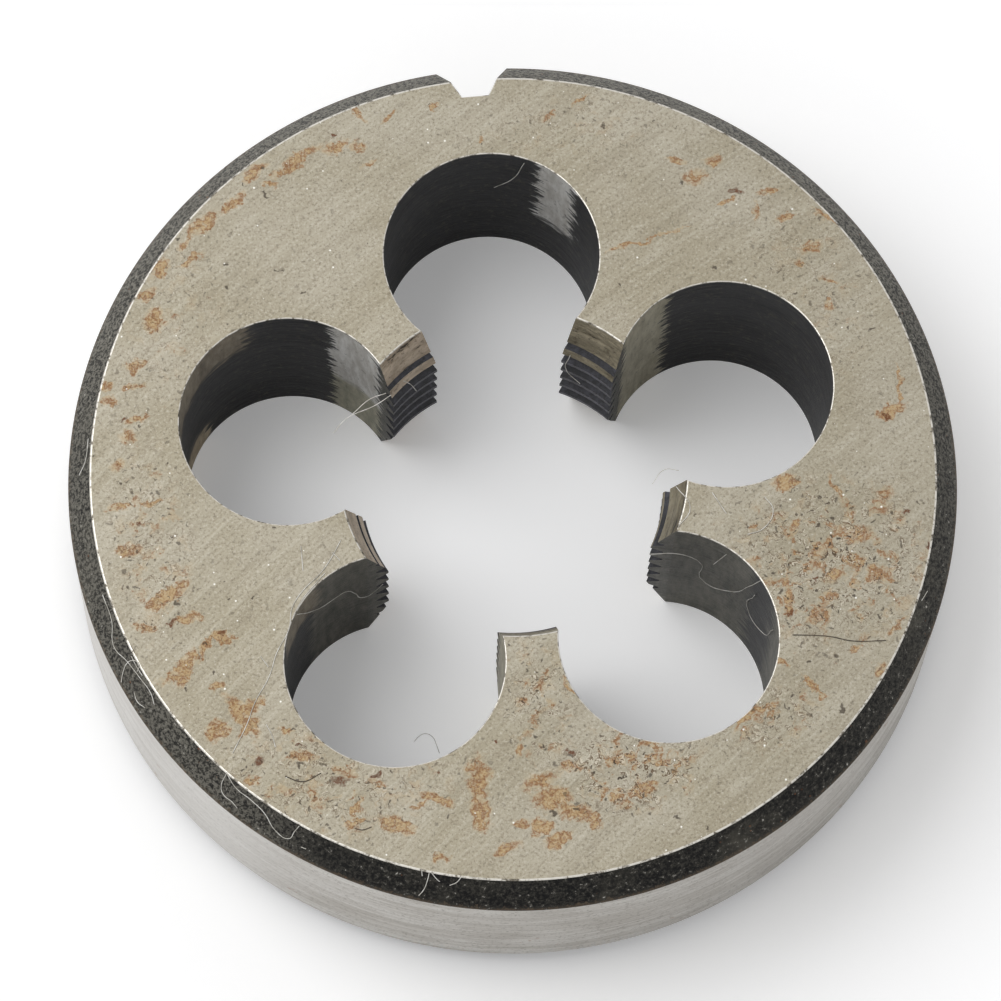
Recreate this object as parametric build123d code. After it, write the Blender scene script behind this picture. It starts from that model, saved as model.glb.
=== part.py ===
"""Round threading die: one piece of hardened tool steel that cuts a fine outside thread on a rod.

Units are millimetres. The origin is the centre of the bottom face, +Z is the die's axis, and +Y runs
through the middle of the locating notch. The two faces are alike, so either one can meet the rod first.
"""

from build123d import *
import math
import os

# Body
die_diameter = 38.0
die_thickness = 10.0
rim_chamfer_width = 1.0  # across the face
rim_chamfer_height = 1.25  # down the rim

# Cut thread
thread_diameter = 14.0  # over the thread's roots in the die
thread_pitch = 1.0
crest_flat_share = 1 / 4  # of the pitch
root_flat_share = 1 / 8  # of the pitch
flank_half_angle = 30.0

# Lead-in cone at each face, which tapers the first teeth
lead_in_diameter = 14.8
lead_in_half_angle = 20.0

# Chip holes between the lands
land_count = 5
chip_hole_diameter = 9.3
chip_hole_circle_diameter = 19.7

# Lands: each is narrowest at its neck, between two holes, and its flat cutting faces flare out to the teeth
land_width_at_teeth = 2.5

# Locating notch in the rim
notch_depth = 1.75
notch_floor_width = 1.15
notch_angle = 60.0
notch_direction = 90.0

# Dimples in the rim, for the cone-ended screws of the holder
dimple_diameter = 3.0
dimple_angle = 90.0
dimple_turns_from_notch = (-60.0, 60.0)

# How far a cutting shape runs past the face that it leaves
past = 1.0

# Worked out from the sizes above
die_radius = die_diameter / 2
chip_circle_radius = chip_hole_circle_diameter / 2
land_step = 360 / land_count
neck_reach = chip_circle_radius * math.cos(math.radians(land_step / 2))
land_width_at_neck = 2 * chip_circle_radius * math.sin(math.radians(land_step / 2)) - chip_hole_diameter
root_radius = thread_diameter / 2
flank_slope = math.tan(math.radians(flank_half_angle))
thread_depth = thread_pitch * (1 - crest_flat_share - root_flat_share) / 2 / flank_slope
crest_radius = root_radius - thread_depth


def blank():
    """The turned disc, with both rim chamfers."""
    face_radius = die_radius - rim_chamfer_width
    section = Polyline(
        (0, 0),
        (face_radius, 0),
        (die_radius, rim_chamfer_height),
        (die_radius, die_thickness - rim_chamfer_height),
        (face_radius, die_thickness),
        (0, die_thickness),
        close=True,
    )
    return revolve(Plane.XZ * make_face(section), Axis.Z)


def through(outline):
    """A flat outline, made into a cutting shape that runs past both faces."""
    return extrude(Pos(0, 0, -past) * outline, die_thickness + 2 * past)


def chip_hole():
    """One drilled hole on the +X side, with its mouth opened to the bore between two flat cutting faces.

    Each cutting face leaves the hole at the land's neck, so the hole's wall runs into it without a step.
    """
    teeth_reach = crest_radius * math.cos(math.radians(land_step / 2)) - past
    flare = (land_width_at_teeth - land_width_at_neck) / 2 / (neck_reach - crest_radius)

    def land_side(reach):
        """The point of the upper land's cutting face at this distance along the land's middle line."""
        half_width = land_width_at_neck / 2 + flare * (neck_reach - reach)
        return Vector(reach, -half_width).rotate(Axis.Z, land_step / 2)

    neck, teeth = land_side(neck_reach), land_side(teeth_reach)
    mouth = Polyline(
        (neck.X, neck.Y),
        (teeth.X, teeth.Y),
        (teeth.X, -teeth.Y),
        (neck.X, -neck.Y),
        close=True,
    )
    hole = Pos(chip_circle_radius, 0) * Circle(chip_hole_diameter / 2)
    return through(hole + make_face(mouth))


def bore():
    """The bore over the thread's crests, with the lead-in cone at each face."""
    slope = math.tan(math.radians(lead_in_half_angle))
    widest = lead_in_diameter / 2
    depth = (widest - crest_radius) / slope
    section = Polyline(
        (0, -past),
        (widest + past * slope, -past),
        (crest_radius, depth),
        (crest_radius, die_thickness - depth),
        (widest + past * slope, die_thickness + past),
        (0, die_thickness + past),
        close=True,
    )
    return revolve(Plane.XZ * make_face(section), Axis.Z)


def land_teeth(direction):
    """The thread over one land, as a stack of grooves that stand open to the bore.

    A land takes up so little of a turn that its grooves are plain rings. The right-hand helix comes from
    their height, which rises by one pitch from land to land round a whole turn.
    """
    root_half = thread_pitch * root_flat_share / 2
    mouth_half = root_half + thread_depth * flank_slope
    rise = thread_pitch * direction / 360 % thread_pitch
    groove_count = math.ceil(die_thickness / thread_pitch) + 1
    outline = [(crest_radius - past, -past - thread_pitch), (crest_radius, -past - thread_pitch)]
    for groove in range(groove_count):
        middle = rise + thread_pitch * (groove - 1)
        outline += [
            (crest_radius, middle - mouth_half),
            (root_radius, middle - root_half),
            (root_radius, middle + root_half),
            (crest_radius, middle + mouth_half),
        ]
    top = die_thickness + past + thread_pitch
    outline += [(crest_radius, top), (crest_radius - past, top)]
    section = Plane.XZ * make_face(Polyline(*outline, close=True))
    span = land_step / 2
    return Rot(0, 0, direction - span / 2) * revolve(section, Axis.Z, span)


def locating_notch():
    """The notch in the rim at +Y, with a flat floor and sloped sides, cut through the whole thickness."""
    floor = die_radius - notch_depth
    outer = die_radius + past
    outer_half = notch_floor_width / 2 + (outer - floor) * math.tan(math.radians(notch_angle / 2))
    sides = Polyline(
        (floor, -notch_floor_width / 2),
        (outer, -outer_half),
        (outer, outer_half),
        (floor, notch_floor_width / 2),
        close=True,
    )
    return Rot(0, 0, notch_direction) * through(make_face(sides))


def screw_dimple(direction):
    """One cone-shaped dimple at half height in the rim."""
    depth = dimple_diameter / 2 / math.tan(math.radians(dimple_angle / 2))
    reach = depth + past
    wide = dimple_diameter / 2 * reach / depth
    cone = Cone(0, wide, reach, align=(Align.CENTER, Align.CENTER, Align.MIN))
    place = Pos(0, 0, die_thickness / 2) * Rot(0, 0, direction) * Pos(die_radius - depth, 0, 0)
    return place * Rot(0, 90, 0) * cone


def die_body():
    """The whole die."""
    hole = chip_hole()
    body = blank() - bore()
    for number in range(land_count):
        hole_direction = notch_direction + land_step * number
        body = body - Rot(0, 0, hole_direction) * hole
        body = body - land_teeth(hole_direction + land_step / 2)
    body = body - locating_notch()
    for turn in dimple_turns_from_notch:
        body = body - screw_dimple(notch_direction + turn)
    return body


os.makedirs("parts", exist_ok=True)
export_step(die_body(), "parts/die_body.step")
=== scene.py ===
"""Round threading die: a 38 mm disc of tool steel with ground faces, an oxidised rim edge and a fine thread.

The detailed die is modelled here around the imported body: a turned blank, five drilled chip holes opened to
the bore, a lead-in cone at each end and a thread that is cut with a screw-shaped tap. Rust, pits, scratches
and lint follow as materials and as thin fibres. Lengths are named in millimetres.
"""
import math
import bmesh
import bpy
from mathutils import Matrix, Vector


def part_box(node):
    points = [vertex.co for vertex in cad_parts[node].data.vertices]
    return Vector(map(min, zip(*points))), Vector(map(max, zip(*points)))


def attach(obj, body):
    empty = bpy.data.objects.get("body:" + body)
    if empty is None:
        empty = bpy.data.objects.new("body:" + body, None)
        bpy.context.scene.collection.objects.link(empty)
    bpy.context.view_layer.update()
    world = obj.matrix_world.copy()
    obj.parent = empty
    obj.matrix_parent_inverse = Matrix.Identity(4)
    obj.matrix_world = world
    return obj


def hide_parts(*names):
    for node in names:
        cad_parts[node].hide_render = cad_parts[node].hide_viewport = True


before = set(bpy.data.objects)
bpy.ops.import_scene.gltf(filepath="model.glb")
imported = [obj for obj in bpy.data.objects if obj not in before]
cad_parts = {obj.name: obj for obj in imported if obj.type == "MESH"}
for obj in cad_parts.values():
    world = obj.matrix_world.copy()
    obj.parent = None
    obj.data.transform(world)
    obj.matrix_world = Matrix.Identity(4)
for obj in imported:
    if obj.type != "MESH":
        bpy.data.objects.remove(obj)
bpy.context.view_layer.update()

MM = 0.001
low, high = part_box("die_body")

# Blank
RADIUS = (high.x - low.x) / 2 / MM
THICKNESS = (high.z - low.z) / MM
CHAMFER_WIDTH = 1.0
CHAMFER_HEIGHT = 1.25
FACE_RADIUS = RADIUS - CHAMFER_WIDTH

# Thread and lead-in cones
PITCH = 1.0
ROOT_RADIUS = 7.0
CREST_RADIUS = 6.459
ROOT_FLAT = PITCH / 8
FLANK_SLOPE = math.tan(math.radians(30))
LEAD_IN_RADIUS = 7.4
LEAD_IN_SLOPE = math.tan(math.radians(20))

# Chip holes and lands
LAND_COUNT = 5
LAND_STEP = math.tau / LAND_COUNT
HOLE_RADIUS = 4.65
HOLE_CIRCLE_RADIUS = 9.85
LAND_WIDTH_AT_TEETH = 2.5

# Notch and screw dimples
NOTCH_DEPTH = 1.75
NOTCH_FLOOR_WIDTH = 1.15
NOTCH_SIDE_SLOPE = math.tan(math.radians(30))
NOTCH_DIRECTION = math.radians(90)
DIMPLE_RADIUS = 1.5
DIMPLE_TURNS = (math.radians(-60), math.radians(60))

# Mesh fineness
RIM_SIDES = 256
HOLE_SIDES = 144
BORE_SIDES = 160
TAP_SIDES = 144
DIMPLE_SIDES = 48
SMOOTH_ANGLE = math.radians(20)

# Cutting
PAST = 1.0  # how far a cutter runs past the face it leaves
TAP_TURNS_BELOW = 3.5
TAP_TURNS_SPARE = 6  # more turns than the die is thick, so that both ends can be trimmed flat
TAP_TRIM = 0.913  # past each face, between the heights of the winding's own corners
EDGE_BREAK = 0.05
SLIVER = 0.03  # corners of the faces closer than this are closed up
CLOSE = 0.001

# How level a face is, by the upward part of its normal: a wall, a slope, or flat
WALL = 0.01
FLAT = 0.99


# ---------------------------------------------------------------- modelling by hand

def deselect_all():
    bpy.ops.object.select_all(action="DESELECT")


def take(piece):
    """Make one piece the only selected and active one."""
    deselect_all()
    piece.select_set(True)
    bpy.context.view_layer.objects.active = piece


def edit(piece):
    take(piece)
    bpy.ops.object.mode_set(mode="EDIT")
    bpy.ops.mesh.select_mode(type="VERT")


def edit_all(piece):
    edit(piece)
    bpy.ops.mesh.select_all(action="SELECT")


def leave_edit():
    bpy.ops.object.mode_set(mode="OBJECT")


def point_outwards(piece):
    edit_all(piece)
    bpy.ops.mesh.normals_make_consistent(inside=False)
    leave_edit()


def apply_modifier(piece, modifier):
    take(piece)
    bpy.ops.object.modifier_apply(modifier=modifier.name)


def apply_place(piece):
    take(piece)
    bpy.ops.object.transform_apply(location=True, rotation=True, scale=True)


def turned(name, sides, rings):
    """A shape as from a lathe: a filled circle is pulled up through rings of (height, radius)."""
    deselect_all()
    height, radius = rings[0]
    bpy.ops.mesh.primitive_circle_add(
        vertices=sides, radius=radius * MM, fill_type="NGON", location=(0, 0, height * MM)
    )
    piece = bpy.context.object
    piece.name = name
    apply_place(piece)
    edit_all(piece)
    for next_height, next_radius in rings[1:]:
        bpy.ops.mesh.extrude_region_move(
            TRANSFORM_OT_translate={"value": (0, 0, (next_height - height) * MM)}
        )
        grow = next_radius / radius
        bpy.ops.transform.resize(value=(grow, grow, 1), center_override=(0, 0, next_height * MM))
        height, radius = next_height, next_radius
    leave_edit()
    point_outwards(piece)
    return piece


def wedge(name, near, near_width, far, far_width):
    """A block through the whole thickness, lying along +X from near to far, with a width at each end."""
    deselect_all()
    bpy.ops.mesh.primitive_cube_add(size=1, location=((near + far) / 2 * MM, 0, THICKNESS / 2 * MM))
    piece = bpy.context.object
    piece.name = name
    piece.scale = ((far - near) * MM, near_width * MM, (THICKNESS + 2 * PAST) * MM)
    apply_place(piece)
    edit(piece)
    select_faces(piece, lambda normal: normal.x > FLAT)
    bpy.ops.transform.resize(value=(1, far_width / near_width, 1), center_override=(far * MM, 0, 0))
    leave_edit()
    return piece


def select_faces(piece, wanted):
    """In edit mode, select the faces whose normal is wanted."""
    bpy.ops.mesh.select_mode(type="FACE")
    bpy.ops.mesh.select_all(action="DESELECT")
    mesh = bmesh.from_edit_mesh(piece.data)
    for face in mesh.faces:
        face.select_set(wanted(face.normal))
    bmesh.update_edit_mesh(piece.data)


def combine(piece, tool, operation):
    """Cut a tool out of a piece, or weld it on, and put the tool away. Cut faces keep the tool's finish."""
    boolean = piece.modifiers.new(operation.lower(), "BOOLEAN")
    boolean.operation = operation
    boolean.solver = "EXACT"
    boolean.material_mode = "TRANSFER"
    boolean.object = tool
    apply_modifier(piece, boolean)
    bpy.data.objects.remove(tool, do_unlink=True)


def turned_in_place(piece, angle):
    """The piece, turned about the die's axis."""
    piece.rotation_euler.z = angle
    apply_place(piece)
    return piece


def turned_copy(piece, angle):
    """A copy with its own mesh, turned about the die's axis."""
    copy = piece.copy()
    copy.data = piece.data.copy()
    bpy.context.scene.collection.objects.link(copy)
    return turned_in_place(copy, angle)


def coat(piece, *materials):
    for material in materials:
        piece.data.materials.append(material)


# ---------------------------------------------------------------- the die

def blank():
    """The turned disc: ground faces and rim, with an oxidised chamfer at both ends of the rim."""
    die = turned("threading_die", RIM_SIDES, [
        (0, FACE_RADIUS),
        (CHAMFER_HEIGHT, RADIUS),
        (THICKNESS - CHAMFER_HEIGHT, RADIUS),
        (THICKNESS, FACE_RADIUS),
    ])
    coat(die, ground_face, ground_rim, oxide_chamfer)
    for face in die.data.polygons:
        if abs(face.normal.z) > FLAT:
            face.material_index = 0
        elif abs(face.normal.z) < WALL:
            face.material_index = 1
        else:
            face.material_index = 2
    return die


def chip_hole_cutter():
    """A drill for one chip hole on the +X side, with the wedge that opens it to the bore."""
    half_step = LAND_STEP / 2
    neck_reach = HOLE_CIRCLE_RADIUS * math.cos(half_step)
    neck_half_width = HOLE_CIRCLE_RADIUS * math.sin(half_step) - HOLE_RADIUS
    teeth_reach = CREST_RADIUS * math.cos(half_step) - PAST
    flare = (LAND_WIDTH_AT_TEETH / 2 - neck_half_width) / (neck_reach - CREST_RADIUS)

    def land_side(reach):
        half_width = neck_half_width + flare * (neck_reach - reach)
        x = reach * math.cos(half_step) + half_width * math.sin(half_step)
        y = reach * math.sin(half_step) - half_width * math.cos(half_step)
        return x, y

    (neck_x, neck_y), (teeth_x, teeth_y) = land_side(neck_reach), land_side(teeth_reach)
    drill = turned("drill", HOLE_SIDES, [(-PAST, HOLE_RADIUS), (THICKNESS + PAST, HOLE_RADIUS)])
    drill.location.x = HOLE_CIRCLE_RADIUS * MM
    apply_place(drill)
    coat(drill, hole_wall)
    mouth = wedge("mouth", teeth_x, 2 * teeth_y, neck_x, 2 * neck_y)
    coat(mouth, cutting_face)
    combine(drill, mouth, "UNION")
    return drill


def bore_cutter():
    """The bore over the thread's crests, opened by a lead-in cone at each face."""
    depth = (LEAD_IN_RADIUS - CREST_RADIUS) / LEAD_IN_SLOPE
    widest = LEAD_IN_RADIUS + PAST * LEAD_IN_SLOPE
    bore = turned("bore", BORE_SIDES, [
        (-PAST, widest),
        (depth, CREST_RADIUS),
        (THICKNESS - depth, CREST_RADIUS),
        (THICKNESS + PAST, widest),
    ])
    coat(bore, thread_crest_highlit, lead_cone)
    for face in bore.data.polygons:
        face.material_index = 1 if WALL < abs(face.normal.z) < FLAT else 0
    return bore


def thread_tap():
    """A tap with a true right-hand helix: one pitch of the thread's outline, wound up the axis."""
    reach = (PITCH - ROOT_FLAT) / 2 / FLANK_SLOPE
    inner = ROOT_RADIUS - reach
    flank_rise = (PITCH - ROOT_FLAT) / 2
    turns = math.ceil(THICKNESS / PITCH) + TAP_TURNS_SPARE
    start = -TAP_TURNS_BELOW * PITCH
    deselect_all()
    bpy.ops.mesh.primitive_plane_add(size=MM, location=(inner * MM, 0, start * MM))
    tap = bpy.context.object
    tap.name = "tap"
    apply_place(tap)
    edit_all(tap)
    bpy.ops.mesh.merge(type="CENTER")
    for out, up in ((reach, flank_rise), (0, ROOT_FLAT), (-reach, flank_rise)):
        bpy.ops.mesh.extrude_region_move(TRANSFORM_OT_translate={"value": (out * MM, 0, up * MM)})
    leave_edit()
    winding = tap.modifiers.new("winding", "SCREW")
    winding.axis = "Z"
    winding.angle = math.tau
    winding.screw_offset = PITCH * MM
    winding.iterations = turns
    winding.steps = TAP_SIDES
    winding.render_steps = TAP_SIDES
    apply_modifier(tap, winding)
    edit_all(tap)
    bpy.ops.mesh.remove_doubles(threshold=CLOSE * MM)
    for height, side in ((-TAP_TRIM, -1), (THICKNESS + TAP_TRIM, 1)):
        bpy.ops.mesh.select_all(action="SELECT")
        bpy.ops.mesh.bisect(
            plane_co=(0, 0, height * MM),
            plane_no=(0, 0, side),
            use_fill=True,
            clear_outer=True,
            threshold=CLOSE * MM,
        )
    leave_edit()
    point_outwards(tap)
    coat(tap, thread_groove_shaded)
    return tap


def notch_cutter():
    """The wedge that cuts the locating notch, with its flat floor and sloped sides."""
    floor = RADIUS - NOTCH_DEPTH
    outer_width = NOTCH_FLOOR_WIDTH + 2 * (NOTCH_DEPTH + PAST) * NOTCH_SIDE_SLOPE
    notch = wedge("notch", floor, NOTCH_FLOOR_WIDTH, RADIUS + PAST, outer_width)
    coat(notch, notch_wall)
    return turned_in_place(notch, NOTCH_DIRECTION)


def dimple_cutter(direction):
    """A right-angled cone that points at the axis, at half height in the rim."""
    reach = DIMPLE_RADIUS + PAST
    deselect_all()
    bpy.ops.mesh.primitive_cone_add(
        vertices=DIMPLE_SIDES,
        radius1=reach * MM,
        radius2=0,
        depth=reach * MM,
        location=((RADIUS + PAST - reach / 2) * MM, 0, 0),
        rotation=(0, math.radians(-90), 0),
    )
    dimple = bpy.context.object
    dimple.name = "dimple"
    apply_place(dimple)
    dimple.location.z = THICKNESS / 2 * MM
    coat(dimple, hole_wall)
    return turned_in_place(dimple, direction)


def break_edges(die):
    """Break the sharp edges around both faces, once the slivers left by the cuts are closed up."""
    edit(die)
    bpy.ops.mesh.select_all(action="DESELECT")
    mesh = bmesh.from_edit_mesh(die.data)
    for corner in mesh.verts:
        corner.select_set(abs(abs(corner.co.z / MM - THICKNESS / 2) - THICKNESS / 2) < CLOSE)
    bmesh.update_edit_mesh(die.data)
    bpy.ops.mesh.remove_doubles(threshold=SLIVER * MM)
    bpy.ops.mesh.select_mode(type="EDGE")
    bpy.ops.mesh.select_all(action="DESELECT")
    mesh = bmesh.from_edit_mesh(die.data)
    for edge in mesh.edges:
        levels = [abs(face.normal.z) > FLAT for face in edge.link_faces]
        edge.select_set(len(levels) == 2 and levels[0] != levels[1])
    bmesh.update_edit_mesh(die.data)
    coat(die, edge_wear_and_highlight)
    bpy.ops.mesh.bevel(
        offset=EDGE_BREAK * MM, segments=2, profile=0.5, material=len(die.data.materials) - 1
    )
    leave_edit()


def threading_die():
    """The whole die: the blank, with everything cut out of it and its edges broken."""
    die = blank()
    hole = chip_hole_cutter()
    for number in range(LAND_COUNT):
        combine(die, turned_copy(hole, NOTCH_DIRECTION + LAND_STEP * number), "DIFFERENCE")
    bpy.data.objects.remove(hole, do_unlink=True)
    combine(die, bore_cutter(), "DIFFERENCE")
    combine(die, notch_cutter(), "DIFFERENCE")
    for turn in DIMPLE_TURNS:
        combine(die, dimple_cutter(NOTCH_DIRECTION + turn), "DIFFERENCE")
    combine(die, thread_tap(), "DIFFERENCE")
    break_edges(die)
    take(die)
    bpy.ops.object.shade_smooth_by_angle(angle=SMOOTH_ANGLE)
    edit(die)
    select_faces(die, lambda normal: abs(normal.z) > FLAT)
    bpy.ops.mesh.faces_shade_flat()
    leave_edit()
    return die


# ---------------------------------------------------------------- colours and nodes

def shade(red, green, blue):
    """A colour from its 0 to 255 screen values."""
    levels = [value / 255 for value in (red, green, blue)]
    return (*[v / 12.92 if v < 0.04045 else ((v + 0.055) / 1.055) ** 2.4 for v in levels], 1)


def add(tree, kind, inputs=(), **options):
    """Add a node with its options. Each input is a plain value or another node's output."""
    node = tree.nodes.new(kind)
    for name, value in options.items():
        setattr(node, name, value)
    for name, value in dict(inputs).items():
        if isinstance(value, bpy.types.NodeSocket):
            tree.links.new(value, node.inputs[name])
        else:
            node.inputs[name].default_value = value
    return node


def maths(tree, operation, first, second=0.0):
    return add(tree, "ShaderNodeMath", {0: first, 1: second}, operation=operation).outputs[0]


def times(tree, first, second):
    return maths(tree, "MULTIPLY", first, second)


def over_level(tree, value, level):
    """How far a value is over a level, with a minus where it is under."""
    return maths(tree, "SUBTRACT", value, level)


def off_level(tree, value, level):
    """How far a value is from a level, over or under."""
    return maths(tree, "ABSOLUTE", over_level(tree, value, level))


def vectors(tree, operation, first, second=(0, 0, 0)):
    node = add(tree, "ShaderNodeVectorMath", {0: first, 1: second}, operation=operation)
    return node.outputs["Value" if operation in ("DISTANCE", "DOT_PRODUCT", "LENGTH") else "Vector"]


def ramp(tree, value, start, end, low=0.0, high=1.0):
    """A smooth step from low to high while the value goes from start to end."""
    return add(
        tree,
        "ShaderNodeMapRange",
        {"Value": value, "From Min": start, "From Max": end, "To Min": low, "To Max": high},
        interpolation_type="SMOOTHSTEP",
    ).outputs["Result"]


def blend(tree, share, under, over):
    node = add(tree, "ShaderNodeMix", data_type="RGBA")
    for socket, value in ((node.inputs[0], share), (node.inputs[6], under), (node.inputs[7], over)):
        if isinstance(value, bpy.types.NodeSocket):
            tree.links.new(value, socket)
        else:
            socket.default_value = value
    return node.outputs[2]


def noise(tree, place, scale, detail=3.0, roughness=0.55, output="Fac"):
    return add(
        tree,
        "ShaderNodeTexNoise",
        {"Vector": place, "Scale": scale, "Detail": detail, "Roughness": roughness},
    ).outputs[output]


def stray(tree, place, reach, pattern_place, scale, detail, roughness):
    """The place, moved about by a noise by up to half the reach each way."""
    swirl = noise(tree, pattern_place, scale, detail, roughness, output="Color")
    drift = vectors(tree, "SUBTRACT", swirl, (0.5, 0.5, 0.5))
    return vectors(tree, "ADD", place, vectors(tree, "MULTIPLY", drift, reach))


def split(tree, place):
    return add(tree, "ShaderNodeSeparateXYZ", {"Vector": place}).outputs


def compose(tree, **parts):
    return add(tree, "ShaderNodeCombineXYZ", parts).outputs[0]


def shared(name, inputs, outputs):
    """Start a shader node group with named sockets, and return it with what it is given and puts out."""
    kinds = {"value": "NodeSocketFloat", "vector": "NodeSocketVector", "colour": "NodeSocketColor"}
    group = bpy.data.node_groups.new(name, "ShaderNodeTree")
    for label, kind in inputs:
        group.interface.new_socket(label, in_out="INPUT", socket_type=kinds[kind])
    for label, kind in outputs:
        group.interface.new_socket(label, in_out="OUTPUT", socket_type=kinds[kind])
    return group, group.nodes.new("NodeGroupInput").outputs, group.nodes.new("NodeGroupOutput").inputs


def use(tree, group, inputs):
    return add(tree, "ShaderNodeGroup", inputs, node_tree=group).outputs


# ---------------------------------------------------------------- shared effects

FAR = 100000.0  # so large that a mark's height and its distance leave each other alone
MARK_CORE, MARK_EDGE = 0.3, 1.6  # where a mark starts to fade and ends, as shares of its half size
LEAST_SPOT = 0.35  # the smallest spot's share of the size, and the largest has 1 more


def make_mark():
    """One more soft oval mark.

    The vector that runs through holds the place in x and y, and in z the marks so far.
    """
    group, given, put = shared(
        "mark",
        [
            ("Place and marks", "vector"),
            ("Centre", "vector"),
            ("Half size", "vector"),
            ("Turn", "vector"),
            ("Strength", "value"),
        ],
        [("Place and marks", "vector")],
    )
    local = add(
        group,
        "ShaderNodeMapping",
        {
            "Vector": given["Place and marks"],
            "Location": given["Centre"],
            "Rotation": given["Turn"],
            "Scale": given["Half size"],
        },
        vector_type="TEXTURE",
    ).outputs["Vector"]
    mask = ramp(group, vectors(group, "LENGTH", local), MARK_EDGE, MARK_CORE, 0.0, given["Strength"])
    raised = compose(group, X=-FAR, Y=-FAR, Z=mask)
    group.links.new(vectors(group, "MAXIMUM", given["Place and marks"], raised), put["Place and marks"])
    return group


def make_spots(name, dimensions):
    """Scattered round spots: a share of the cells of a pattern hold one, each with its own size."""
    group, given, put = shared(
        name,
        [("Place", "vector"), ("Per millimetre", "value"), ("Size", "value"), ("Share", "value")],
        [("Mask", "value")],
    )
    cells = add(
        group,
        "ShaderNodeTexVoronoi",
        {"Vector": given["Place"], "Scale": given["Per millimetre"]},
        voronoi_dimensions=dimensions,
    )
    parts = add(group, "ShaderNodeSeparateColor", {"Color": cells.outputs["Color"]}).outputs
    chosen = maths(group, "LESS_THAN", parts["Red"], given["Share"])
    radius = times(group, given["Size"], maths(group, "ADD", parts["Green"], LEAST_SPOT))
    nearness = maths(group, "DIVIDE", cells.outputs["Distance"], radius)
    group.links.new(times(group, ramp(group, nearness, 1.0, 0.45), chosen), put["Mask"])
    return group


def make_lines():
    """Fine parallel scratches, drawn out where the place that is given is squeezed."""
    group, given, put = shared(
        "lines",
        [("Place", "vector"), ("Per millimetre", "value")],
        [("Value", "value")],
    )
    fine = noise(group, given["Place"], given["Per millimetre"], detail=4.0, roughness=0.7)
    coarse = noise(group, given["Place"], times(group, given["Per millimetre"], 0.23), detail=2.0)
    both = maths(group, "ADD", times(group, fine, 0.6), times(group, coarse, 0.4))
    group.links.new(ramp(group, both, 0.3, 0.7), put["Value"])
    return group


def make_rust():
    """Rust over a finish: a thin ochre film with a darker outline, broken up by its own grain."""
    group, given, put = shared(
        "rust",
        [("Under", "colour"), ("Place", "vector"), ("Amount", "value")],
        [("Color", "colour"), ("Mask", "value")],
    )
    grain = noise(group, given["Place"], 3.2, detail=5.0, roughness=0.78)
    flecks = noise(group, given["Place"], 9.0, detail=2.0, roughness=0.7)
    wander = off_level(group, noise(group, given["Place"], 1.6, detail=4.0, roughness=0.6), 0.5)
    depth = times(group, given["Amount"], ramp(group, wander, 0.07, 0.0, 0.72, 1.5))
    depth = maths(group, "ADD", depth, times(group, over_level(group, grain, 0.5), 1.9))
    film = ramp(group, depth, 0.26, 0.6)
    core = ramp(group, depth, 0.45, 0.95)
    ochre = blend(group, ramp(group, flecks, 0.35, 0.6), shade(170, 124, 68), shade(202, 172, 122))
    rusty = blend(group, core, shade(136, 84, 42), ochre)
    rusty = blend(group, ramp(group, flecks, 0.42, 0.32, 0.0, 0.75), rusty, shade(98, 64, 38))
    thinness = ramp(group, core, 0.0, 1.0, 0.85, 0.6)
    cover = times(group, times(group, film, thinness), ramp(group, flecks, 0.66, 0.5, 0.35, 1.0))
    group.links.new(blend(group, cover, given["Under"], rusty), put["Color"])
    group.links.new(cover, put["Mask"])
    return group


mark = make_mark()
spots = make_spots("spots", "3D")
flat_spots = make_spots("flat_spots", "2D")
lines = make_lines()
rust = make_rust()

# ---------------------------------------------------------------- finishes

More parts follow.
